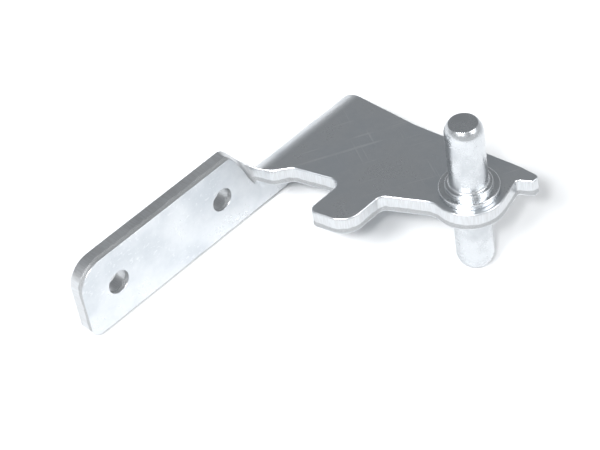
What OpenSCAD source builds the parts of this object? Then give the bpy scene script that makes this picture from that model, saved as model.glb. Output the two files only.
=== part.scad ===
// Middle hinge for a pair of doors: one folded steel bracket and one turned pin.
// The flange's back lies on x = 0, with the origin midway between its two screw
// holes. The flange runs along Y, the plate reaches out along X and the pin
// stands parallel to Z. Each piece is drawn about the pin's axis, with the
// plate's top at z = 0, and then moved there. Lengths are in millimetres.

/* [Sheet] */
// Thickness of the strip the bracket is folded from
sheet = 4; // [3:0.1:4.5]
// Inside radius of the fold between flange and plate
fold_inside = 2.5; // [1.5:0.1:2.6]

/* [Flange] */
// Length of the flange along the fold
flange_length = 78.5; // [74:0.5:100]
// Distance from the pin axis to the flange's far end
flange_overhang = 8.85; // [8.5:0.05:10]
// Distance from the pin axis to the face that lies on the cabinet
reach = 44.4; // [43:0.1:60]
// Depth of the flange below the plate's top
flange_drop = 10.3; // [9.5:0.1:20]
// Height of the ear above the plate's top
ear_height = 7.35; // [6.5:0.05:10]
// Radius of the ear's upper corner
ear_corner = 5.8; // [3:0.1:7]
// Radius of the ear's lower corner
foot_corner = 2.2; // [1:0.1:4]
// Distance from the pin axis to where the ear starts to lean into the fold
ear_end = 27.5; // [27:0.1:30]
// Distance over which the ear leans and sinks until it is the fold
lean_length = 7.3; // [6.5:0.1:8]

/* [Screw holes] */
// Diameter of each screw hole
screw_hole = 5.2; // [4:0.1:6]
// Distance between the two screw holes
screw_pitch = 29.4; // [26:0.1:32]
// Distance from the flange's near end to the first screw hole
screw_inset = 8.95; // [6:0.05:10]
// Depth of the screw holes' centres below the plate's top
screw_depth = 1.2; // [0:0.1:3]

/* [Plate] */
// Radius of the plate's round end about the pin
eye_radius = 7.75; // [7:0.05:8]
// Angle between the plate's front edge and the X axis
front_slope = 26.2; // [20:0.1:30]
// Angle between the plate's near edge and the X axis
near_slope = 15.1; // [12:0.1:18]
// Angle between the lug's end and the X axis
lug_slope = 12.5; // [0:0.1:15]
// Distance from the pin axis to the lug's right side, along X
lug_right = 13.45; // [12.5:0.05:14]
// Distance from the pin axis to the lug's left side, along X
lug_left = 23; // [22:0.1:24]
// Distance from the pin axis to the lug's lowest corner, along Y
lug_drop = 24.15; // [23:0.05:28]
// Radius of the lug's large corner
lug_corner = 4.8; // [3:0.1:5]
// Distance from the pin axis to the tab's end
tab_reach = 9.1; // [8.6:0.1:11]
// Distance from the pin axis to the tab's far side
tab_side = 11.5; // [11.3:0.1:12.5]
// Angle between the tab's front face and the X axis
tab_slope = 28; // [20:0.5:32]

/* [Pin] */
// Diameter of the pin
pin_diameter = 8; // [7:0.1:8.1]
// Diameter of the pin's shank where it is pressed into the plate
shank_diameter = 8.4; // [8.2:0.1:9]
// Height of the pin above the plate's top
pin_above = 17.9; // [14:0.1:30]
// Length of the pin below the plate's underside
pin_below = 15.5; // [12:0.1:30]
// Diameter of the flat collar on the plate
collar_diameter = 12.7; // [11.8:0.1:14]
// Height of the flat collar
collar_height = 1.4; // [0.8:0.1:2]
// Diameter of the small step on the collar
step_diameter = 9.9; // [9.5:0.1:10.5]
// Height of the small step
step_height = 0.9; // [0.6:0.1:1.5]
// Length of the cone that the nose at each end of the pin follows
nose_length = 1.35; // [1.3:0.05:1.6]
// Diameter at the tip of that cone, before its edge is rounded
nose_diameter = 6; // [5.8:0.1:6.2]
// Radius between the pin's wall and the nose
nose_radius = 3.4; // [1:0.1:3.5]

/* [Hidden] */
$fn = 96;

pin_radius = pin_diameter / 2;
fold_outside = fold_inside + sheet;
back = -reach;
front = back + sheet;
fold_x = back + fold_outside;
fold_z = -fold_outside;
near_end = flange_overhang - flange_length;
lean_start = -ear_end;
lean_end = lean_start + lean_length;
first_hole = near_end + screw_inset;
underside = -sheet;

// Angle at which the leaning wall hands its edge over to the plate
lean_out = atan(lean_length / (4 * fold_outside));
// Angle of the short steep part of the plate's near edge
jog_slope = 50;
// A point on the plate's front edge
front_point = [-5, -8];
// Where the round end starts and stops, as angles about the pin
eye_front = -100;
eye_side = 14;
// Where the far edge starts and stops flaring outward
flare_start = -22;
flare_end = 3.9;

// How far the leaning wall's flat facets stay inside the sheet's true skins
inset = 0.01;
lean_back = back + inset;
lean_front = front - inset;
// Number of sections and of points along each skin in the leaning wall
lean_sections = 14;
skin_points = 12;

// Unit vector from a to b
function unit(a, b) = (b - a) / norm(b - a);
// Point where the line through p at angle a meets the line through q at angle b
function meet(p, a, q, b) =
  let (u = [cos(a), sin(a)])
  let (v = [cos(b), sin(b)])
  p + u * cross(q - p, v) / cross(u, v);
// Height of the turn at b on the way a, b, c: positive is to the left
function turn(a, b, c) = cross(unit(a, b), unit(b, c));
// Angle between the two edges that meet at b
function corner_angle(a, b, c) = acos(unit(b, a) * unit(b, c));

// Circle of radius r that touches both edges at b: [entry, exit, centre]
function touching(a, b, c, r) =
  let (half = corner_angle(a, b, c) / 2)
  let (out = unit(b, a))
  let (on = unit(b, c))
  [
    b + out * r / tan(half),
    b + on * r / tan(half),
    b + unit([0, 0], out + on) * r / sin(half),
  ];
function before(points, i) = points[i == 0 ? len(points) - 1 : i - 1];
function after(points, i) = points[i == len(points) - 1 ? 0 : i + 1];

// Outline through the points, given anticlockwise, with a radius for each
module rounded_outline(points, radii) {
  touch = [
    for (i = [0:len(points) - 1])
      touching(before(points, i), points[i], after(points, i), max(radii[i], 0.001))
  ];
  left = [
    for (i = [0:len(points) - 1])
      turn(before(points, i), points[i], after(points, i)) > 0
  ];
  filled = [
    for (i = [0:len(points) - 1])
      for (p = left[i] || radii[i] == 0 ? [points[i]] : [touch[i][0], touch[i][1]])
        p
  ];
  difference() {
    polygon(filled);
    for (i = [0:len(points) - 1])
      if (radii[i] > 0)
        translate(touch[i][2])
          if (left[i])
            corner_waste([for (p = [touch[i][0], points[i], touch[i][1]]) p - touch[i][2]]);
          else
            circle(r = radii[i]);
  }
}

// What a rounded corner loses, about the centre of its circle
module corner_waste(corner) {
  difference() {
    polygon([corner[0], corner[1] * 1.2, corner[2]]);
    circle(r = norm(corner[0]));
  }
}

// Vertical part of the flange: the ear up to where it leans, then up to the fold
module wall() {
  translate([back, 0, 0])
    rotate([90, 0, 90])
      linear_extrude(sheet)
        rounded_outline(
          [
            [near_end, -flange_drop],
            [flange_overhang, -flange_drop],
            [flange_overhang, fold_z],
            [lean_start, fold_z],
            [lean_start, ear_height],
            [near_end, ear_height],
          ],
          [foot_corner, 0, 0, 0, 0, ear_corner]
        );
}

// Quarter ring between the wall and the plate
module fold() {
  translate([fold_x, flange_overhang, fold_z])
    rotate([90, 0, 0])
      linear_extrude(flange_overhang - lean_end)
        intersection() {
          difference() {
            circle(r = fold_outside);
            circle(r = fold_inside);
          }
          translate([-fold_outside, 0])
            square(fold_outside);
        }
}

// Leaning wall: at the share w of its length the sheet leans by lean(w)
function lean(w) = 90 * w;
// Where the sheet's outer edge lies at w
function edge_x(w) = lean_back + (fold_outside - 2 * inset) * pow(w, 4);
function edge_z(w) = ear_height * (1 + cos(180 * w)) / 2 - inset;
// Where the cut face would meet the inner skin, square to the sheet
function square_x(w) = edge_x(w) + (sheet - 2 * inset) * cos(lean(w));
// Where the cut face ends: on the wall's front, or past it on the bent sheet
function cut_x(w) = max(lean_front, square_x(w));
function cut_z(w) =
  square_x(w) > lean_front
    ? edge_z(w) - (sheet - 2 * inset) * sin(lean(w))
    : edge_z(w) - (lean_front - edge_x(w)) * tan(lean(w));

// Length of the tangent from a skin's bend to its edge
function skin_tangent(from, to, w) = w > 0 ? (to - from) / sin(lean(w)) : 0;
// Point at the share s of a skin: straight up from the fold's level, then bent
function skin_point(from, to, top, w, s) =
  let (t = skin_tangent(from, to, w))
  let (start = top - t * (1 + cos(lean(w))))
  let (radius = t > 0 ? t / tan(lean(w) / 2) : 0)
  let (arc = radius * lean(w) * PI / 180)
  let (along = s * (start - fold_z + arc))
  let (bent = along - (start - fold_z))
  bent > 0 && arc > 0
    ? let (a = lean(w) * bent / arc)
      [from + radius * (1 - cos(a)), start + radius * sin(a)]
    : [from, fold_z + along];

function outer_skin(w) = [
  for (k = [0:skin_points])
    skin_point(lean_back, edge_x(w), edge_z(w), w, k / skin_points)
];
function inner_skin(w) = [
  for (k = [skin_points:-1:0])
    skin_point(lean_front, cut_x(w), cut_z(w), w, k / skin_points)
];

module leaning_wall() {
  shares = [for (i = [0:lean_sections]) i / lean_sections];
  ring = 2 * (skin_points + 1);
  points = [
    for (w = shares)
      for (p = concat(outer_skin(w), inner_skin(w)))
        [p.x, lean_start + w * lean_length, p.y]
  ];
  sides = [
    for (i = [0:lean_sections - 1])
      for (j = [0:ring - 1])
        let (a = i * ring + j)
        let (b = i * ring + (j + 1) % ring)
        for (half = [[a, b + ring, b], [a, a + ring, b + ring]])
          half
  ];
  last = lean_sections * ring;
  caps = [
    for (k = [0:skin_points - 1])
      let (m = ring - 1 - k)
      for (
        half = [
          [k, k + 1, m - 1],
          [k, m - 1, m],
          [last + k, last + m - 1, last + k + 1],
          [last + k, last + m, last + m - 1],
        ]
      )
        half
  ];
  polyhedron(points = points, faces = concat(sides, caps), convexity = 4);
}

// Corner of the square that the round end's arc is tangent to at both its ends
function eye_vertex() =
  let (middle = (eye_front + eye_side) / 2)
  let (half = (eye_side - eye_front) / 2)
  [cos(middle), sin(middle)] * eye_radius / cos(half);

// Plate with its round end, its stop tab and its lug
module plate() {
  eye_out = eye_radius * [cos(eye_side), sin(eye_side)];
  eye_in = eye_radius * [cos(eye_front), sin(eye_front)];
  jog = [back + 8.7, lean_end + 2];
  step = [back + 10.9, lean_end + 3.9];
  fold_near = [fold_x, lean_end];
  lug_low = [-lug_left, -lug_drop];
  tab_tip = [tab_reach, tab_side - 2.3];
  outline = [
    fold_near,
    meet(fold_near, lean_out, jog, jog_slope),
    meet(jog, jog_slope, step, near_slope),
    meet(step, near_slope, lug_low, 90),
    lug_low,
    meet(lug_low, lug_slope, [-lug_right, 0], 90),
    meet([-lug_right, 0], 90, front_point, front_slope),
    meet(front_point, front_slope, eye_in, eye_front + 90),
    eye_vertex(),
    meet(eye_out, eye_side + 90, tab_tip, tab_slope),
    tab_tip,
    [tab_reach, tab_side],
    [flare_end, tab_side],
    [flare_start, flange_overhang],
    [fold_x, flange_overhang],
  ];
  radii = [0, 2.2, 2, 2, 1.8, lug_corner, 2, 5, eye_radius, 0.7, 0.5, 1.2, 8, 20, 0];
  translate([0, 0, underside])
    linear_extrude(sheet)
      rounded_outline(outline, radii);
}

// Move a piece from the pin's axis to the frame of the screw holes
module placed() {
  translate([reach, -first_hole - screw_pitch / 2, screw_depth])
    children();
}

// Bracket: one folded sheet with its screw holes and the hole for the pin
module bracket() {
  color([0.78, 0.79, 0.8])
    placed()
    difference() {
      union() {
        wall();
        fold();
        leaning_wall();
        plate();
      }
      for (k = [0:1])
        translate([back - 1, first_hole + k * screw_pitch, -screw_depth])
          rotate([0, 90, 0])
            cylinder(h = sheet + 2, d = screw_hole);
      translate([0, 0, underside - 1])
        cylinder(h = sheet + 2, d = shank_diameter);
    }
}

// Pin: one turned rod with a stepped collar that sits on the plate
module hinge_pin() {
  tail = underside - pin_below;
  step_top = collar_height + step_height;
  color([0.72, 0.73, 0.74])
    placed()
    rotate_extrude()
      rounded_outline(
        [
          [0, tail],
          [nose_diameter / 2, tail],
          [pin_radius, tail + nose_length],
          [pin_radius, underside],
          [shank_diameter / 2, underside],
          [shank_diameter / 2, 0],
          [collar_diameter / 2, 0],
          [collar_diameter / 2, collar_height],
          [step_diameter / 2, collar_height],
          [step_diameter / 2, step_top],
          [pin_radius, step_top],
          [pin_radius, pin_above - nose_length],
          [nose_diameter / 2, pin_above],
          [0, pin_above],
        ],
        [0, 0.4, nose_radius, 0, 0, 0, 0, 0.3, 0.15, 0.3, 0.55, nose_radius, 0.4, 0]
      );
}

bracket();
hinge_pin();
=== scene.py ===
"""Looks of a middle hinge: a folded, zinc-plated steel bracket with one turned pin.

The bracket is one sheet with a die-rolled rim, a sheared edge and a small lip,
folded by a formula that also leans the ear into the fold. The pin is a turned
profile. Both are worked out in millimetres about the pin's axis, with the
plate's top at zero, and moved to the row frame as their meshes are made.
"""

import logging
from dataclasses import dataclass, field
from enum import Enum

import bpy
import numpy as np
from mathutils import Matrix, Vector
from mathutils.geometry import delaunay_2d_cdt

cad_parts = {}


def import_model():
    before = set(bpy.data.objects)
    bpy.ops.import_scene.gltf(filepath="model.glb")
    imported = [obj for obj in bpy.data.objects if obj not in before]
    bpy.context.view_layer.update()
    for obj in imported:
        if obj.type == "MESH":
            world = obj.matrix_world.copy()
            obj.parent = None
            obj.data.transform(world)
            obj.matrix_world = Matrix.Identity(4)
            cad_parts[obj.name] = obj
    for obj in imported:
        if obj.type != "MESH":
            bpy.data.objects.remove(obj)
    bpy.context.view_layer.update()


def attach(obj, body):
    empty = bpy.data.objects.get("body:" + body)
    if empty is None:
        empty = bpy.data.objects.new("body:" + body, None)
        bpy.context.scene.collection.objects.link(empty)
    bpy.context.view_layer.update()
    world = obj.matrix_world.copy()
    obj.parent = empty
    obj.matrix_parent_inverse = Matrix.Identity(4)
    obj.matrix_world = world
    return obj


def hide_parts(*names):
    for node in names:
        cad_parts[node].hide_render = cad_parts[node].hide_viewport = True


LOG = logging.getLogger("hinge")
MM = 0.001
PIN_PLACE = np.array([44.4, 46.0, 1.2])


def unit(v: np.ndarray) -> np.ndarray:
    """Vectors scaled to length one along their last axis."""
    return v / np.maximum(np.linalg.norm(v, axis=-1, keepdims=True), 1e-12)


def heading(degrees: float) -> np.ndarray:
    """Unit vector in the plane at an angle from its first axis."""
    turn = np.radians(degrees)
    return np.array([np.cos(turn), np.sin(turn)])


def meet(p: np.ndarray, a: float, q: np.ndarray, b: float) -> np.ndarray:
    """Where two lines in a plane cross.

    Args:
        p: A point on the first line.
        a: The first line's angle in degrees.
        q: A point on the second line.
        b: The second line's angle in degrees.

    Returns:
        The crossing point, p + u * cross(q - p, v) / cross(u, v).
    """
    u, v, gap = heading(a), heading(b), np.subtract(q, p)
    return p + u * (gap[0] * v[1] - gap[1] * v[0]) / (u[0] * v[1] - u[1] * v[0])


@dataclass
class Path:
    """A line through a plane, with its direction and how far along each point is."""

    points: np.ndarray
    tangents: np.ndarray

    @property
    def inward(self) -> np.ndarray:
        """Unit vectors to the left of the path, which is where the metal is."""
        return np.stack([-self.tangents[:, 1], self.tangents[:, 0]], axis=1)

    @staticmethod
    def joined(parts: list["Path"]) -> "Path":
        """One path from several that follow each other."""
        return Path(
            np.concatenate([p.points for p in parts]),
            np.concatenate([p.tangents for p in parts]),
        )

    def inner_part(self) -> "Path":
        """The path without its two end points."""
        return Path(self.points[1:-1], self.tangents[1:-1])


def rounded_path(corners: np.ndarray, radii: list[float], step: float, turn: float = 6.0) -> Path:
    """Straight runs through the corners, with a true arc at each that has a radius.

    Each arc touches both runs: it starts r * tan(half the turn) before its
    corner. A sharp corner is given the mean direction of its two runs.

    Args:
        corners: Corner points, one a row. The first and last are the ends.
        radii: A radius for each corner; the ends have none.
        step: Longest gap between points on a straight run.
        turn: Largest change of direction between points on an arc, in degrees.

    Returns:
        The points in order, with their directions.
    """
    points, tangents = [corners[:1]], []
    runs = unit(np.diff(corners, axis=0))
    start = corners[0]
    tangents.append(runs[:1])
    for i in range(1, len(corners)):
        into = runs[i - 1]
        last = i == len(corners) - 1
        out = into if last else runs[i]
        bend = np.arctan2(into[0] * out[1] - into[1] * out[0], into @ out)
        radius = 0.0 if last else radii[i]
        back_off = radius * np.tan(abs(bend) / 2)
        entry = corners[i] - into * back_off
        count = max(int(np.ceil(np.linalg.norm(entry - start) / step)), 1)
        share = np.linspace(0, 1, count + 1)[1:, None]
        points.append(start + (entry - start) * share)
        tangents.append(np.repeat(into[None], count, axis=0))
        if radius > 0:
            side = np.sign(bend) * np.array([-into[1], into[0]])
            centre = entry + side * radius
            count = max(int(np.ceil(abs(np.degrees(bend)) / turn)), 2)
            angle = bend * np.linspace(0, 1, count + 1)[1:, None]
            points.append(centre - side * radius * np.cos(angle) + into * radius * np.sin(abs(angle)))
            tangents.append(into * np.cos(angle) + side * np.sin(abs(angle)))
        elif not last:
            tangents[-1][-1] = unit(into + out)
        start = points[-1][-1]
    return Path(np.concatenate(points), np.concatenate(tangents))


def circle_path(centre: np.ndarray, radius: float, count: int) -> Path:
    """A hole's rim, run clockwise so that the metal stays on its left."""
    angle = -np.linspace(0, 2 * np.pi, count, endpoint=False)[:, None]
    spoke = np.hstack([np.cos(angle), np.sin(angle)])
    return Path(centre + radius * spoke, np.hstack([spoke[:, 1:], -spoke[:, :1]]))


class Skin(Enum):
    """The two faces of the sheet: outer is the plate's top and the flange's back."""

    OUTER = 0
    INNER = 1


@dataclass(frozen=True)
class FoldedSheet:
    """Where a point of the flat sheet goes when the bracket is folded.

    The flat sheet is measured by a, up the flange from its lower edge, and b,
    along the fold. Past the fold, a runs out along the plate.
    """

    thickness: float = 4.0
    inside: float = 2.5
    reach: float = 44.4
    drop: float = 10.3
    ear: float = 7.35
    lean_start: float = -27.5
    lean_length: float = 7.3
    plate_only: float = 20.0

    @property
    def outside(self) -> float:
        """Outer radius of the fold."""
        return self.inside + self.thickness

    @property
    def lean_end(self) -> float:
        """Where along b the lean has become the fold."""
        return self.lean_start + self.lean_length

    @property
    def fold_x(self) -> float:
        """Where the plate's flat part starts."""
        return -self.reach + self.outside

    def foot(self, skin: Skin) -> float:
        """Place of a skin on the flange, along x."""
        return -self.reach + (self.thickness if skin is Skin.INNER else 0.0)

    def radius(self, skin: Skin) -> float:
        """Radius of a skin in the full fold."""
        return self.inside if skin is Skin.INNER else self.outside

    def plate_start(self, skin: Skin) -> float:
        """The flat sheet's a at which the plate starts, on a skin."""
        return self.drop - self.outside + self.radius(skin) * np.pi / 2

    def edge(self, skin: Skin, share: np.ndarray) -> tuple[np.ndarray, np.ndarray]:
        """Where the leaning wall's cut edge lies on a skin.

        The sheet leans by 90 degrees times the share. Its outer edge moves out
        by the fourth power of the share and sinks by a half cosine. The inner
        edge is one thickness away square to the lean, or on the flange's front.

        Args:
            skin: The face of the sheet.
            share: How far along the lean, from 0 to 1.

        Returns:
            The edge's x and z.
        """
        lean = share * np.pi / 2
        x = -self.reach + self.outside * share**4
        z = self.ear * (1 + np.cos(np.pi * share)) / 2
        if skin is Skin.OUTER:
            return x, z
        front = self.foot(Skin.INNER)
        square = x + self.thickness * np.cos(lean)
        on_front = z - (front - x) * np.tan(np.minimum(lean, 1.5))
        past = square > front
        return np.maximum(square, front), np.where(past, z - self.thickness * np.sin(lean), on_front)

    def bend(self, skin: Skin, share: np.ndarray) -> tuple[np.ndarray, np.ndarray, np.ndarray]:
        """The arc that a skin follows at a share of the lean.

        The arc touches the upright flange and the leaning edge. Its tangent is
        (edge x - foot) / sin(lean) long, and its radius that over tan(lean / 2).

        Returns:
            The height at which the arc starts, its radius and its angle.
        """
        lean = np.maximum(share, 1e-6) * np.pi / 2
        x, z = self.edge(skin, share)
        tangent = (x - self.foot(skin)) / np.sin(lean)
        return z - tangent * (1 + np.cos(lean)), tangent / np.tan(lean / 2), lean

    def edge_flat(self, skin: Skin, share: np.ndarray) -> np.ndarray:
        """The cut edge of the leaning wall in the flat sheet, as points (a, b)."""
        start, radius, lean = self.bend(skin, share)
        b = self.lean_start + self.lean_length * share
        return np.stack([start + self.drop + radius * lean, b], axis=-1)

    def place(self, skin: Skin, flat: np.ndarray) -> np.ndarray:
        """Fold points of the flat sheet.

        A point goes straight up the flange to where its arc starts, round the
        arc by its length over the radius, and then straight on at the lean.

        Args:
            skin: The face of the sheet.
            flat: Points (a, b) along the last axis.

        Returns:
            Points (x, y, z) about the pin's axis.
        """
        a, b = flat[..., 0], flat[..., 1]
        share = np.clip((b - self.lean_start) / self.lean_length, 0, 1)
        share = np.where(a > self.plate_only, 1.0, share)
        start, radius, lean = self.bend(skin, share)
        past = a - self.drop - start
        angle = np.clip(past / np.maximum(radius, 1e-9), 0, lean)
        below, beyond = np.minimum(past, 0), np.maximum(past - radius * lean, 0)
        x = self.foot(skin) + radius * (1 - np.cos(angle)) + beyond * np.sin(lean)
        z = start + below + radius * np.sin(angle) + beyond * np.cos(lean)
        return np.stack([x, b, z], axis=-1)

    def normal(self, skin: Skin, flat: np.ndarray) -> np.ndarray:
        """Outward normals of a skin, from small steps along a and b."""
        da, db = np.array([1e-3, 0]), np.array([0, 1e-3])
        along_a = self.place(skin, flat + da) - self.place(skin, flat - da)
        along_b = self.place(skin, flat + db) - self.place(skin, flat - db)
        out = unit(np.cross(along_a, along_b))
        return -out if skin is Skin.INNER else out


@dataclass
class Shell:
    """A mesh being put together: its points, normals, faces and shear values."""

    points: list[np.ndarray] = field(default_factory=list)
    normals: list[np.ndarray] = field(default_factory=list)
    shear: list[np.ndarray] = field(default_factory=list)
    quads: list[np.ndarray] = field(default_factory=list)
    triangles: list[np.ndarray] = field(default_factory=list)
    count: int = 0

    def add(self, points: np.ndarray, normals: np.ndarray, shear: np.ndarray) -> np.ndarray:
        """Add points with their normals and shear values.

        Args:
            points: Places in millimetres about the pin's axis.
            normals: A unit vector for each point.
            shear: (way along the edge, depth, how sheared) for each point.

        Returns:
            The new points' numbers, in the shape the points came in.
        """
        flat = points.reshape(-1, 3)
        self.points.append(flat)
        self.normals.append(normals.reshape(-1, 3))
        self.shear.append(np.broadcast_to(shear, points.shape).reshape(-1, 3))
        numbers = self.count + np.arange(len(flat))
        self.count += len(flat)
        return numbers.reshape(points.shape[:-1])

    def ring_grid(self, numbers: np.ndarray) -> None:
        """Faces between the rows of a grid that closes round its first axis."""
        here, there = numbers, np.roll(numbers, -1, axis=0)
        quads = np.stack([here[:, :-1], here[:, 1:], there[:, 1:], there[:, :-1]], axis=-1)
        self.quads.append(quads.reshape(-1, 4))

    def mesh_object(self, name: str) -> bpy.types.Object:
        """A mesh object in the row frame, with its normals and attributes.

        Args:
            name: The piece's name.

        Returns:
            The linked object, at the origin and unturned.
        """
        points = (np.concatenate(self.points) + PIN_PLACE) * MM
        quads = np.concatenate(self.quads) if self.quads else np.zeros((0, 4), int)
        triangles = np.concatenate(self.triangles) if self.triangles else np.zeros((0, 3), int)
        mesh = bpy.data.meshes.new(name)
        mesh.vertices.add(len(points))
        mesh.vertices.foreach_set("co", points.astype(np.float32).ravel())
        corners = np.concatenate([quads.ravel(), triangles.ravel()]).astype(np.int32)
        sizes = np.concatenate([np.full(len(quads), 4), np.full(len(triangles), 3)])
        mesh.loops.add(len(corners))
        mesh.loops.foreach_set("vertex_index", corners)
        mesh.polygons.add(len(sizes))
        starts = np.concatenate([[0], np.cumsum(sizes)[:-1]]).astype(np.int32)
        mesh.polygons.foreach_set("loop_start", starts)
        mesh.update(calc_edges=True)
        mesh.validate()
        mesh.polygons.foreach_set("use_smooth", np.ones(len(sizes), bool))
        shear = np.concatenate(self.shear).astype(np.float32)
        for column, label in enumerate(("shear_way", "shear_depth", "shear_amount")):
            layer = mesh.attributes.new(label, "FLOAT", "POINT")
            layer.data.foreach_set("value", np.ascontiguousarray(shear[:, column]))
        mesh.normals_split_custom_set_from_vertices(unit(np.concatenate(self.normals)))
        piece = bpy.data.objects.new(name, mesh)
        bpy.context.scene.collection.objects.link(piece)
        return piece


def inside_loops(points: np.ndarray, loops: list[np.ndarray]) -> np.ndarray:
    """Whether points lie inside an odd number of closed loops.

    Counts, for each point, the loop edges that a ray along the first axis
    crosses, all points against all edges at once.
    """
    odd = np.zeros(len(points), bool)
    for loop in loops:
        x1, y1 = loop[:, 0], loop[:, 1]
        x2, y2 = np.roll(x1, -1), np.roll(y1, -1)
        py = points[:, 1:2]
        spans = (y1 > py) != (y2 > py)
        rise = np.where(y2 == y1, 1e-12, y2 - y1)
        crossing = (x2 - x1) * (py - y1) / rise + x1
        odd ^= (np.sum(spans & (points[:, :1] < crossing), axis=1) % 2).astype(bool)
    return odd


def gap_to_loops(points: np.ndarray, loops: list[np.ndarray]) -> np.ndarray:
    """Distance from each point to the nearest loop point."""
    every = np.concatenate(loops)
    return np.min(np.linalg.norm(points[:, None] - every[None], axis=2), axis=1)


@dataclass(frozen=True)
class ShearedRim:
    """Section of the cut edge, from the outer skin round to the inner one.

    The die rolls the outer rim over a quarter ellipse, shears most of the
    depth smooth, breaks the rest rough, and leaves a lip at the inner rim.
    """

    thickness: float = 4.0
    roll_width: float = 0.42
    roll_depth: float = 0.42
    set_back: float = 0.07
    smooth_depth: float = 2.75
    broken_depth: float = 3.55
    lip_depth: float = 3.86
    inner_width: float = 0.36

    def section(self) -> tuple[np.ndarray, np.ndarray, np.ndarray, np.ndarray]:
        """The section's points.

        Returns:
            How far inside the outline each lies, its depth, how much of it
            belongs to the roll, and how sheared its surface is.
        """
        swing = np.linspace(0, np.pi / 2, 8)
        inset = self.set_back + self.roll_width * (1 - np.sin(swing))
        depth = self.roll_depth * (1 - np.cos(swing))
        rest = np.array(
            [
                [self.set_back, 1.1, 1.0],
                [self.set_back, 1.9, 1.0],
                [self.set_back, self.smooth_depth, 1.0],
                [self.set_back + 0.03, self.smooth_depth + 0.12, 1.0],
                [self.set_back + 0.03, 3.2, 1.0],
                [self.set_back + 0.02, self.broken_depth, 1.0],
                [0.02, 3.74, 0.6],
                [0.0, self.lip_depth, 0.4],
                [0.03, 3.95, 0.2],
                [0.11, self.thickness, 0.0],
                [self.inner_width, self.thickness, 0.0],
            ]
        )
        rolled = np.concatenate([np.linspace(1, 1, 8), np.zeros(len(rest))])
        sheared = np.concatenate([np.linspace(0, 1, 8) ** 2, rest[:, 2]])
        return (
            np.concatenate([inset, rest[:, 0]]),
            np.concatenate([depth, rest[:, 1]]),
            rolled,
            sheared,
        )


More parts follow.
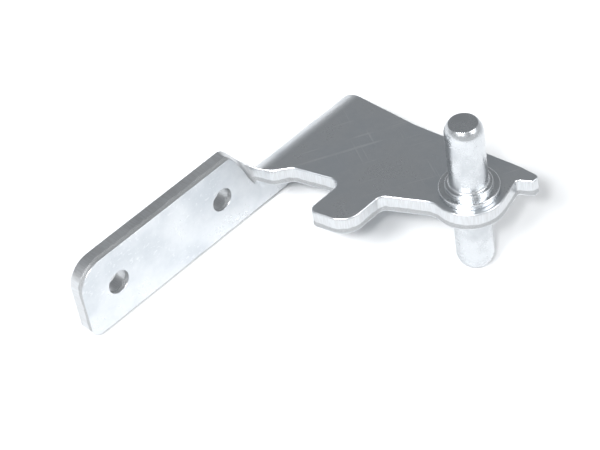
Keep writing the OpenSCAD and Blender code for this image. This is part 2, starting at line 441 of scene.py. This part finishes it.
@dataclass
class Bracket:
    """The folded bracket: flange, fold and plate from one sheet."""

    sheet: FoldedSheet = field(default_factory=FoldedSheet)
    rim: ShearedRim = field(default_factory=ShearedRim)
    near_end: float = -69.65
    far_end: float = 8.85
    foot_corner: float = 2.2
    far_foot_corner: float = 0.7
    ear_corner: float = 5.8
    screw_holes: tuple[float, float] = (-60.7, -31.3)
    screw_level: float = -1.2
    screw_radius: float = 2.6
    shank_radius: float = 4.204
    eye_radius: float = 7.75
    eye_front: float = -100.0
    eye_side: float = 14.0
    front_slope: float = 26.2
    near_slope: float = 15.1
    jog_slope: float = 50.0
    lug_slope: float = 12.5
    tab_slope: float = 28.0
    lug_left: float = -23.0
    lug_right: float = -13.45
    lug_drop: float = -24.15
    tab_reach: float = 9.1
    tab_side: float = 11.5
    flare_start: float = -22.0
    flare_end: float = 3.9
    step: float = 1.2
    seed: int = 11

    def plate_corners(self) -> tuple[np.ndarray, list[float]]:
        """The plate's outline from the fold's near end round to its far end.

        Each corner is where two of the outline's straight runs cross. The
        round end is one corner whose arc is centred on the pin.
        """
        sheet = self.sheet
        start = np.array([sheet.fold_x, sheet.lean_end])
        lean_out = np.degrees(np.arctan(sheet.lean_length / (4 * sheet.outside)))
        jog = start + np.array([8.7 - sheet.outside, 2.0])
        step = start + np.array([10.9 - sheet.outside, 3.9])
        low = np.array([self.lug_left, self.lug_drop])
        right = np.array([self.lug_right, 0.0])
        front = np.array([-5.0, -8.0])
        tip = np.array([self.tab_reach, self.tab_side - 2.3])
        middle, half = (self.eye_front + self.eye_side) / 2, (self.eye_side - self.eye_front) / 2
        eye = heading(middle) * self.eye_radius / np.cos(np.radians(half))
        eye_in, eye_out = (self.eye_radius * heading(a) for a in (self.eye_front, self.eye_side))
        corners = [
            (start, 0.0),
            (meet(start, lean_out, jog, self.jog_slope), 2.2),
            (meet(jog, self.jog_slope, step, self.near_slope), 2.0),
            (meet(step, self.near_slope, low, 90), 2.0),
            (low, 1.8),
            (meet(low, self.lug_slope, right, 90), 4.8),
            (meet(right, 90, front, self.front_slope), 2.0),
            (meet(front, self.front_slope, eye_in, self.eye_front + 90), 5.0),
            (eye, self.eye_radius),
            (meet(eye_out, self.eye_side + 90, tip, self.tab_slope), 0.7),
            (tip, 0.55),
            (np.array([self.tab_reach, self.tab_side]), 1.2),
            (np.array([self.flare_end, self.tab_side]), 8.0),
            (np.array([self.flare_start, self.far_end]), 20.0),
            (np.array([sheet.fold_x, self.far_end]), 0.0),
        ]
        return np.array([c for c, _ in corners]), [r for _, r in corners]

    def outline(self, skin: Skin) -> Path:
        """The whole cut edge in the flat sheet, the same count on both skins.

        It runs round the plate, down the fold's far end, along the flange's
        foot, up its near end, along the ear and down the lean to the plate.
        """
        sheet = self.sheet
        corners, radii = self.plate_corners()
        plate = rounded_path(corners, radii, self.step)
        plate.points = plate.points + [sheet.plate_start(skin) - sheet.fold_x, 0.0]
        rise = sheet.drop - sheet.outside
        turn = np.linspace(np.pi / 2, 0, 17)
        fold = np.stack([rise + sheet.radius(skin) * turn, np.full(17, self.far_end)], axis=1)
        down = np.tile([-1.0, 0.0], (17, 1))
        top = sheet.drop + sheet.ear
        wall_corners = [
            [rise, self.far_end],
            [0.0, self.far_end],
            [0.0, self.near_end],
            [top, self.near_end],
            [top, sheet.lean_start],
        ]
        wall_radii = [0.0, self.far_foot_corner, self.foot_corner, self.ear_corner, 0.0]
        wall = rounded_path(np.array(wall_corners), wall_radii, self.step)
        lean = sheet.edge_flat(skin, np.linspace(0, 1, 41))
        lean_path = Path(lean, unit(np.gradient(lean, axis=0)))
        return Path.joined([plate, Path(fold, down).inner_part(), wall, lean_path.inner_part()])

    def rim_grid(self, shell: Shell, outer: Path, inner: Path, roll: np.ndarray) -> np.ndarray:
        """The cut edge as a grid of the outline by the rim's section.

        Each point is found on both skins at its inset from the outline, and
        lies between them at its share of the thickness.

        Args:
            shell: The mesh being put together.
            outer: The edge on the outer skin, in the flat sheet.
            inner: The same edge on the inner skin.
            roll: For each edge point, how large the rolled rim is there.

        Returns:
            The grid's point numbers.
        """
        inset, depth, rolled, sheared = self.rim.section()
        scale = 1 + (roll[:, None] - 1) * rolled
        inset = self.rim.set_back * rolled + (inset - self.rim.set_back * rolled) * scale
        depth = np.broadcast_to(depth, inset.shape) * scale
        share = (depth / self.rim.thickness)[..., None]
        outer_flat = outer.points[:, None] + outer.inward[:, None] * inset[..., None]
        inner_flat = inner.points[:, None] + inner.inward[:, None] * inset[..., None]
        outside = self.sheet.place(Skin.OUTER, outer_flat)
        inside = self.sheet.place(Skin.INNER, inner_flat)
        grid = outside * (1 - share) + inside * share
        across = np.gradient(grid, axis=1)
        along = np.roll(grid, -1, axis=0) - np.roll(grid, 1, axis=0)
        normals = unit(np.cross(across, along))
        normals[:, 0] = self.sheet.normal(Skin.OUTER, outer_flat[:, 0])
        normals[:, -2:] = self.sheet.normal(Skin.INNER, inner_flat[:, -2:])
        gaps = np.linalg.norm(np.diff(grid[:, 8], axis=0, prepend=grid[-1:, 8]), axis=1)
        way = np.broadcast_to(np.cumsum(gaps)[:, None], depth.shape)
        shear = np.stack([way, depth, np.broadcast_to(sheared, depth.shape)], axis=-1)
        numbers = shell.add(grid, normals, shear)
        shell.ring_grid(numbers)
        return numbers

    def skin_points(self, skin: Skin, loops: list[np.ndarray]) -> np.ndarray:
        """Points inside a skin: close together where it bends, wide apart on flats."""
        sheet = self.sheet
        fine_a = np.arange(1.0, sheet.plate_start(skin) + 3.0, 0.45)
        lean_b = np.arange(sheet.lean_start - 1.0, sheet.lean_end + 1.2, 0.4)
        fold_b = np.arange(sheet.lean_end + 1.2, self.far_end, 0.9)
        wide_a = np.arange(1.5, sheet.plate_start(skin) + 48, 2.6)
        wide_b = np.arange(self.near_end + 1.5, self.tab_side, 2.6)
        ear_a = np.arange(sheet.plate_start(skin) + 3.0, sheet.drop + sheet.ear, 0.45)
        patches = [(fine_a, lean_b), (ear_a, lean_b[lean_b < sheet.lean_end]), (fine_a, fold_b)]
        made = [np.stack(np.meshgrid(a, b), axis=-1).reshape(-1, 2) for a, b in patches]
        wide = np.stack(np.meshgrid(wide_a, wide_b), axis=-1).reshape(-1, 2)
        near_bend = (wide[:, 1] > lean_b[0] - 0.5) & (wide[:, 0] < fine_a[-1] + 0.5)
        made.append(wide[~near_bend])
        points = np.concatenate(made)
        points = points[inside_loops(points, loops)]
        return points[gap_to_loops(points, loops) > 0.3]

    def fill_skin(self, shell: Shell, skin: Skin, rims: list[tuple[Path, np.ndarray]]) -> None:
        """Close a skin between its rims with a constrained triangulation.

        Args:
            shell: The mesh being put together.
            skin: The face of the sheet.
            rims: Each edge's path in the flat sheet and its grid's numbers.
        """
        row = 0 if skin is Skin.OUTER else -1
        inset = self.rim.section()[0][row]
        scales = [self.roll_at(path, i == 0) if skin is Skin.OUTER else np.ones(len(path.points))
                  for i, (path, _) in enumerate(rims)]
        loops = [
            path.points + path.inward * (self.rim.set_back + (inset - self.rim.set_back) * s)[:, None]
            for (path, _), s in zip(rims, scales)
        ]
        free = self.skin_points(skin, loops)
        numbers = shell.add(self.sheet.place(skin, free), self.sheet.normal(skin, free), self.bare(skin))
        numbers = np.concatenate([grid[:, row] for _, grid in rims] + [numbers])
        flat = np.concatenate(loops + [free])
        edges, first = [], 0
        for loop in loops:
            ring = first + np.arange(len(loop))
            edges.append(np.stack([ring, np.roll(ring, -1)], axis=1))
            first += len(loop)
        made = delaunay_2d_cdt([Vector(p) for p in flat.tolist()], np.concatenate(edges).tolist(), [], 0, 1e-7)
        if len(made[0]) != len(flat):
            raise ValueError(f"the {skin.name.lower()} skin's rim crosses itself")
        faces = np.array([f for f in made[2] if len(f) == 3])
        source = np.array([v[0] for v in made[3]])
        centres = np.array([v[:] for v in made[0]])[faces].mean(axis=1)
        faces = source[faces[inside_loops(centres, loops)]]
        shell.triangles.append(numbers[faces if skin is Skin.OUTER else faces[:, ::-1]])

    def bare(self, skin: Skin) -> np.ndarray:
        """Shear values of a skin away from any edge."""
        return np.array([0.0, 0.0 if skin is Skin.OUTER else self.rim.thickness, 0.0])

    def roll_at(self, path: Path, outline: bool) -> np.ndarray:
        """How large the rolled rim is along an edge: larger where the fold strained it.

        It grows as a bell curve about the fold's near corner, on the outline
        only, and is half size round the holes.
        """
        if not outline:
            return np.full(len(path.points), 0.6)
        corner = self.plate_corners()[0][1]
        corner = corner + [self.sheet.plate_start(Skin.OUTER) - self.sheet.fold_x, 0.0]
        gap = np.linalg.norm(path.points - corner, axis=1)
        return 1 + 1.2 * np.exp(-((gap / 2.2) ** 2))

    def build(self) -> bpy.types.Object:
        """Make the bracket's closed mesh.

        Returns:
            The bracket's object.
        """
        shell = Shell()
        centres = [np.array([self.screw_level + self.sheet.drop, b]) for b in self.screw_holes]
        rims = {skin: [] for skin in Skin}
        outlines = {skin: self.outline(skin) for skin in Skin}
        roll = self.roll_at(outlines[Skin.OUTER], True)
        grid = self.rim_grid(shell, outlines[Skin.OUTER], outlines[Skin.INNER], roll)
        for skin in Skin:
            rims[skin].append((outlines[skin], grid))
        holes = [{skin: circle_path(c, self.screw_radius, 72) for skin in Skin} for c in centres]
        pin = {
            skin: circle_path(
                np.array([self.sheet.plate_start(skin) - self.sheet.fold_x, 0.0]), self.shank_radius, 96
            )
            for skin in Skin
        }
        for hole in [*holes, pin]:
            hole_roll = self.roll_at(hole[Skin.OUTER], False)
            grid = self.rim_grid(shell, hole[Skin.OUTER], hole[Skin.INNER], hole_roll)
            for skin in Skin:
                rims[skin].append((hole[skin], grid))
        for skin in Skin:
            self.fill_skin(shell, skin, rims[skin])
        return shell.mesh_object("folded_bracket")


@dataclass
class HingePin:
    """The turned pin: two rounded ends, a pressed shank and a stepped collar."""

    radius: float = 4.0
    shank_radius: float = 4.196
    top: float = 17.9
    foot: float = -19.5
    underside: float = -4.0
    collar_radius: float = 6.35
    collar_height: float = 1.4
    step_radius: float = 4.95
    step_top: float = 2.3
    nose_length: float = 1.35
    nose_tip: float = 3.0
    nose_radius: float = 3.4
    segments: int = 144

    def profile(self) -> Path:
        """The turned outline as (radius, height), from the foot's middle to the top's."""
        corners = [
            (0.0, self.foot, 0.0),
            (self.nose_tip, self.foot, 0.4),
            (self.radius, self.foot + self.nose_length, self.nose_radius),
            (self.radius, self.underside, 0.0),
            (self.shank_radius, self.underside, 0.0),
            (self.shank_radius, 0.0, 0.0),
            (self.collar_radius - 0.12, 0.0, 0.0),
            (self.collar_radius, 0.12, 0.1),
            (self.collar_radius, self.collar_height, 0.3),
            (self.step_radius, self.collar_height, 0.15),
            (self.step_radius, self.step_top, 0.3),
            (self.radius, self.step_top, 0.55),
            (self.radius, self.top - self.nose_length, self.nose_radius),
            (self.nose_tip, self.top, 0.4),
            (0.0, self.top, 0.0),
        ]
        points = np.array([c[:2] for c in corners])
        return rounded_path(points, [c[2] for c in corners], 0.8, 7.5)

    def build(self) -> bpy.types.Object:
        """Make the pin's closed mesh: each profile point swept round the axis.

        Returns:
            The pin's object.
        """
        profile = self.profile()
        radius, height = profile.points[1:-1].T
        out = -profile.inward[1:-1]
        turn = np.linspace(0, 2 * np.pi, self.segments, endpoint=False)[:, None]
        cos, sin = np.cos(turn), np.sin(turn)
        grid = np.stack([radius * cos, radius * sin, np.broadcast_to(height, (self.segments, len(height)))], axis=-1)
        lie = np.broadcast_to(out[:, 1], grid.shape[:2])
        normals = np.stack([out[:, 0] * cos, out[:, 0] * sin, lie], axis=-1)
        shell = Shell()
        numbers = shell.add(grid, normals, np.zeros(3))
        shell.ring_grid(numbers[:, ::-1])
        ends = np.array([[0.0, 0.0, self.foot], [0.0, 0.0, self.top]])
        poles = shell.add(ends, np.array([[0.0, 0, -1], [0, 0, 1.0]]), np.zeros(3))
        after = np.roll(numbers, -1, axis=0)
        for pole, row, flip in ((poles[0], 0, True), (poles[1], -1, False)):
            fan = np.stack([np.full(self.segments, pole), numbers[:, row], after[:, row]], axis=1)
            shell.triangles.append(fan[:, ::-1] if flip else fan)
        return shell.mesh_object("turned_pin")


class Graph:
    """A material's node tree, with short ways to add nodes and join them."""

    def __init__(self, name: str) -> None:
        """Start an empty tree with a metal shader and its output."""
        self.material = bpy.data.materials.new(name)
        self.material.use_nodes = True
        self.tree = self.material.node_tree
        self.tree.nodes.clear()
        output = self.tree.nodes.new("ShaderNodeOutputMaterial")
        self.shader = self.tree.nodes.new("ShaderNodeBsdfPrincipled")
        self.tree.links.new(self.shader.outputs[0], output.inputs[0])

    def add(self, kind: str, settings: dict | None = None, **inputs: object) -> bpy.types.Node:
        """Add a node.

        Args:
            kind: Blender's node type without its prefix.
            settings: Attributes to set on the node.
            inputs: Values or output sockets for its inputs, by name with
                spaces written as underscores, or by place as _0, _1.

        Returns:
            The node.
        """
        node = self.tree.nodes.new("ShaderNode" + kind)
        for key, value in (settings or {}).items():
            setattr(node, key, value)
        for key, value in inputs.items():
            label = key.replace("_", " ").strip()
            socket = node.inputs[int(label)] if label.isdigit() else node.inputs[label]
            if isinstance(value, bpy.types.NodeSocket):
                self.tree.links.new(value, socket)
            else:
                socket.default_value = value
        return node

    def maths(self, operation: str, a: object, b: object = 0.0, c: object = 0.0) -> bpy.types.NodeSocket:
        """The output of a Math node."""
        return self.add("Math", {"operation": operation}, _0=a, _1=b, _2=c).outputs[0]

    def ramp(self, value: object, low: float, high: float, to: tuple[float, float] = (0.0, 1.0)) -> bpy.types.NodeSocket:
        """A value spread smoothly from one range to another, and held at its ends."""
        node = self.add(
            "MapRange", {"interpolation_type": "SMOOTHSTEP"},
            Value=value, From_Min=low, From_Max=high, To_Min=to[0], To_Max=to[1],
        )
        return node.outputs[0]

    def mix(self, share: object, a: object, b: object) -> bpy.types.NodeSocket:
        """A colour between two."""
        node = self.tree.nodes.new("ShaderNodeMix")
        node.data_type = "RGBA"
        for place, value in ((0, share), (6, a), (7, b)):
            if isinstance(value, bpy.types.NodeSocket):
                self.tree.links.new(value, node.inputs[place])
            else:
                node.inputs[place].default_value = value
        return node.outputs[2]

    def noise(self, where: object, scale: float, detail: float = 2.0, rough: float = 0.5) -> bpy.types.NodeSocket:
        """The value of a noise texture."""
        node = self.add("TexNoise", None, Vector=where, Scale=scale, Detail=detail, Roughness=rough)
        return node.outputs[0]

    def in_mm(self, stretch: tuple[float, float, float] = (1, 1, 1), turn: tuple[float, float, float] = (0, 0, 0)) -> bpy.types.NodeSocket:
        """Object coordinates in millimetres, turned and then stretched."""
        here = self.add("TexCoord").outputs["Object"]
        turned = self.add("Mapping", None, Vector=here, Rotation=turn)
        scale = tuple(s / MM for s in stretch)
        return self.add("Mapping", None, Vector=turned.outputs[0], Scale=scale).outputs[0]


@dataclass(frozen=True)
class ZincPlate:
    """Bright zinc plate on stamped steel, with handling marks and sheared edges."""

    name: str = "zinc_plated_sheet"
    bright: tuple[float, float, float, float] = (0.63, 0.65, 0.67, 1)
    clouded: tuple[float, float, float, float] = (0.52, 0.55, 0.58, 1)
    sheared: tuple[float, float, float, float] = (0.56, 0.57, 0.58, 1)
    broken: tuple[float, float, float, float] = (0.36, 0.37, 0.38, 1)

    def scratches(self, graph: Graph, turn: float, scale: float) -> bpy.types.NodeSocket:
        """Fine lines in one direction: noise stretched long and cut to its peaks."""
        where = graph.in_mm((0.05, 1.6, 1.6), (0.0, 0.0, turn))
        lines = graph.noise(where, scale, 1.0)
        patch = graph.noise(graph.in_mm(), 0.12, 1.0)
        return graph.maths("MULTIPLY", graph.ramp(lines, 0.64, 0.72), graph.ramp(patch, 0.45, 0.6))

    def dress(self, piece: bpy.types.Object) -> None:
        """Make the plate's material and put it on the bracket."""
        graph = Graph(self.name)
        way = graph.add("Attribute", {"attribute_name": "shear_way"}).outputs["Fac"]
        depth = graph.add("Attribute", {"attribute_name": "shear_depth"}).outputs["Fac"]
        amount = graph.add("Attribute", {"attribute_name": "shear_amount"}).outputs["Fac"]
        edge = graph.ramp(amount, 0.3, 0.9)
        strip = graph.add("CombineXYZ", None, X=way, Y=depth).outputs[0]
        wobble = graph.noise(strip, 0.5, 2.0)
        line = graph.maths("ADD", depth, graph.maths("MULTIPLY", graph.maths("SUBTRACT", wobble, 0.5), 0.9))
        torn = graph.maths("MULTIPLY", graph.ramp(line, 2.6, 2.85), edge)
        stroke = graph.add("Mapping", None, Vector=strip, Scale=(5.0, 0.35, 1.0)).outputs[0]
        strokes = graph.noise(stroke, 1.0, 3.0)
        grain = graph.noise(strip, 5.0, 4.0, 0.7)
        cloud = graph.noise(graph.in_mm(), 0.09, 4.0, 0.6)
        fine = graph.noise(graph.in_mm(), 1.7, 5.0, 0.65)
        marks = graph.maths("MAXIMUM", self.scratches(graph, 0.5, 1.0), self.scratches(graph, 2.1, 0.8))
        speck = graph.add("TexVoronoi", None, Vector=graph.in_mm(), Scale=0.55).outputs["Distance"]
        speck = graph.maths("MULTIPLY", graph.ramp(speck, 0.1, 0.05), graph.ramp(cloud, 0.5, 0.62))
        colour = graph.mix(graph.ramp(cloud, 0.35, 0.7), self.bright, self.clouded)
        colour = graph.mix(graph.maths("MULTIPLY", marks, 0.35), colour, (0.8, 0.81, 0.82, 1))
        colour = graph.mix(edge, colour, graph.mix(graph.ramp(strokes, 0.35, 0.65), self.sheared, self.bright))
        colour = graph.mix(torn, colour, graph.mix(graph.ramp(grain, 0.35, 0.7), self.broken, self.sheared))
        rough = graph.ramp(cloud, 0.3, 0.7, (0.25, 0.36))
        rough = graph.maths("ADD", rough, graph.maths("MULTIPLY", graph.ramp(fine, 0.3, 0.75), 0.07))
        rough = graph.maths("ADD", rough, graph.maths("MULTIPLY", edge, 0.04))
        rough = graph.maths("ADD", rough, graph.maths("MULTIPLY", torn, 0.22))
        relief = graph.maths("MULTIPLY", fine, 0.0015)
        relief = graph.maths("SUBTRACT", relief, graph.maths("MULTIPLY", marks, 0.004))
        relief = graph.maths("SUBTRACT", relief, graph.maths("MULTIPLY", speck, 0.03))
        relief = graph.maths("ADD", relief, graph.maths("MULTIPLY", graph.maths("MULTIPLY", strokes, edge), 0.02))
        relief = graph.maths("ADD", relief, graph.maths("MULTIPLY", graph.maths("MULTIPLY", grain, torn), 0.09))
        bump = graph.add("Bump", None, Strength=1.0, Distance=MM, Height=relief)
        shader = graph.shader
        shader.inputs["Metallic"].default_value = 1.0
        graph.tree.links.new(colour, shader.inputs["Base Color"])
        graph.tree.links.new(rough, shader.inputs["Roughness"])
        graph.tree.links.new(bump.outputs[0], shader.inputs["Normal"])
        piece.data.materials.append(graph.material)


@dataclass(frozen=True)
class TurnedSteel:
    """Zinc plate over turned steel, with fine tool rings round the axis."""

    name: str = "zinc_plated_pin"
    bright: tuple[float, float, float, float] = (0.62, 0.64, 0.66, 1)
    worn: tuple[float, float, float, float] = (0.5, 0.52, 0.54, 1)

    def dress(self, piece: bpy.types.Object) -> None:
        """Make the turned material and put it on the pin."""
        graph = Graph(self.name)
        here = graph.add("TexCoord").outputs["Object"]
        centred = graph.add("Mapping", None, Vector=here, Location=tuple(-PIN_PLACE * MM)).outputs[0]
        apart = graph.add("SeparateXYZ", None, Vector=centred)
        flat = graph.add("CombineXYZ", None, X=apart.outputs[0], Y=apart.outputs[1]).outputs[0]
        radius = graph.add("VectorMath", {"operation": "LENGTH"}, _0=flat).outputs["Value"]
        track = graph.maths("MULTIPLY", graph.maths("ADD", apart.outputs[2], radius), 1 / MM)
        rings = graph.noise(graph.add("CombineXYZ", None, X=track).outputs[0], 9.0, 3.0, 0.7)
        cloud = graph.noise(graph.in_mm(), 0.16, 4.0, 0.6)
        fine = graph.noise(graph.in_mm(), 2.2, 4.0, 0.6)
        colour = graph.mix(graph.ramp(cloud, 0.35, 0.68), self.bright, self.worn)
        rough = graph.ramp(cloud, 0.3, 0.7, (0.2, 0.3))
        rough = graph.maths("ADD", rough, graph.maths("MULTIPLY", graph.ramp(fine, 0.3, 0.7), 0.06))
        relief = graph.maths("ADD", graph.maths("MULTIPLY", rings, 0.006), graph.maths("MULTIPLY", fine, 0.0015))
        bump = graph.add("Bump", None, Strength=1.0, Distance=MM, Height=relief)
        shader = graph.shader
        shader.inputs["Metallic"].default_value = 1.0
        graph.tree.links.new(colour, shader.inputs["Base Color"])
        graph.tree.links.new(rough, shader.inputs["Roughness"])
        graph.tree.links.new(bump.outputs[0], shader.inputs["Normal"])
        piece.data.materials.append(graph.material)


@dataclass(frozen=True)
class Lamp:
    """A soft lamp that looks at the part."""

    name: str
    place: tuple[float, float, float]
    size: float
    power: float

    def build(self, target: Vector) -> None:
        """Hang the lamp at its place and turn it to the target."""
        data = bpy.data.lights.new(self.name, "AREA")
        data.shape = "DISK"
        data.size = self.size
        data.energy = self.power
        lamp = bpy.data.objects.new(self.name, data)
        bpy.context.scene.collection.objects.link(lamp)
        lamp.location = self.place
        lamp.rotation_mode = "QUATERNION"
        lamp.rotation_quaternion = (target - lamp.location).to_track_quat("-Z", "Y")


@dataclass
class Studio:
    """Pale floor, soft lamps, a plain sky and the camera."""

    floor_colour: tuple[float, float, float, float] = (0.8, 0.81, 0.82, 1)
    floor_size: float = 4.0
    horizon: tuple[float, float, float, float] = (0.72, 0.73, 0.74, 1)
    overhead: tuple[float, float, float, float] = (0.3, 0.31, 0.32, 1)
    camera_place: tuple[float, float, float] = (0.2512113, -0.1678428, 0.2767878)
    camera_right: tuple[float, float, float] = (0.71672, 0.685028, -0.130573)
    camera_up: tuple[float, float, float] = (-0.40827, 0.563978, 0.717805)
    lens: float = 120.0
    target: tuple[float, float, float] = (0.022, 0.022, 0.0)
    lamps: tuple[Lamp, ...] = (
        Lamp("key_lamp", (0.16, -0.62, 0.75), 0.35, 9.0),
        Lamp("flash", (0.225, -0.21, 0.33), 0.05, 0.9),
        Lamp("fill_lamp", (0.8, 0.35, 0.7), 0.7, 6.0),
    )

    def floor(self) -> bpy.types.Object:
        """The floor that the part lies on, from the flange's foot to the pin's tip."""
        back_foot = np.array([0.0, -9.1])
        pin_foot = np.array([PIN_PLACE[0] - 3.0, PIN_PLACE[2] - 19.5])
        across, down = (pin_foot - back_foot) * MM
        slope = np.array([across, 0.0, down]) / np.hypot(across, down)
        middle = np.array([back_foot[0], 0.0, back_foot[1] - 0.02]) * MM
        spread = np.linspace(-0.5, 0.5, 9) * self.floor_size
        u, v = np.meshgrid(spread, spread, indexing="ij")
        grid = middle + u[..., None] * slope + v[..., None] * np.array([0.0, 1.0, 0.0])
        numbers = np.arange(81).reshape(9, 9)
        quads = np.stack([numbers[:-1, :-1], numbers[1:, :-1], numbers[1:, 1:], numbers[:-1, 1:]], axis=-1)
        mesh = bpy.data.meshes.new("floor")
        mesh.from_pydata(grid.reshape(-1, 3).tolist(), [], quads.reshape(-1, 4).tolist())
        plane = bpy.data.objects.new("floor", mesh)
        bpy.context.scene.collection.objects.link(plane)
        graph = Graph("pale_floor")
        graph.shader.inputs["Base Color"].default_value = self.floor_colour
        graph.shader.inputs["Roughness"].default_value = 0.9
        mesh.materials.append(graph.material)
        return plane

    def sky(self) -> None:
        """A plain world, pale at the horizon and greyer overhead."""
        world = bpy.data.worlds.new("studio")
        bpy.context.scene.world = world
        world.use_nodes = True
        tree = world.node_tree
        tree.nodes.clear()
        where = tree.nodes.new("ShaderNodeTexCoord")
        apart = tree.nodes.new("ShaderNodeSeparateXYZ")
        height = tree.nodes.new("ShaderNodeMapRange")
        height.interpolation_type = "SMOOTHSTEP"
        height.inputs["From Min"].default_value = 0.1
        height.inputs["From Max"].default_value = 0.6
        blend = tree.nodes.new("ShaderNodeMix")
        blend.data_type = "RGBA"
        blend.inputs[6].default_value = self.horizon
        blend.inputs[7].default_value = self.overhead
        light = tree.nodes.new("ShaderNodeBackground")
        output = tree.nodes.new("ShaderNodeOutputWorld")
        for start, end in (
            (where.outputs["Generated"], apart.inputs[0]),
            (apart.outputs[2], height.inputs["Value"]),
            (height.outputs[0], blend.inputs[0]),
            (blend.outputs[2], light.inputs[0]),
            (light.outputs[0], output.inputs[0]),
        ):
            tree.links.new(start, end)

    def camera(self) -> None:
        """The camera that sees the part as the photograph does."""
        data = bpy.data.cameras.new("camera")
        data.sensor_width = 36.0
        data.lens = self.lens
        data.clip_start, data.clip_end = 0.01, 20.0
        camera = bpy.data.objects.new("camera", data)
        bpy.context.scene.collection.objects.link(camera)
        right, up = Vector(self.camera_right), Vector(self.camera_up)
        turn = Matrix((right, up, right.cross(up))).transposed().to_4x4()
        camera.matrix_world = Matrix.Translation(self.camera_place) @ turn
        bpy.context.scene.camera = camera

    def build(self) -> None:
        """Set up floor, lamps, sky and camera."""
        self.floor()
        for lamp in self.lamps:
            lamp.build(Vector(self.target))
        self.sky()
        self.camera()
        bpy.context.scene.view_settings.view_transform = "Standard"


def main() -> None:
    """Load the frame, build and dress both pieces, and set up the studio."""
    logging.basicConfig(level=logging.INFO, format="%(name)s: %(message)s")
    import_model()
    bracket = Bracket().build()
    ZincPlate().dress(bracket)
    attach(bracket, "root")
    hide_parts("bracket")
    LOG.info("%s: %d faces", bracket.name, len(bracket.data.polygons))
    pin = HingePin().build()
    TurnedSteel().dress(pin)
    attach(pin, "root")
    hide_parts("hinge_pin")
    LOG.info("%s: %d faces", pin.name, len(pin.data.polygons))
    Studio().build()
    bpy.context.view_layer.update()


if __name__ == "__main__":
    main()
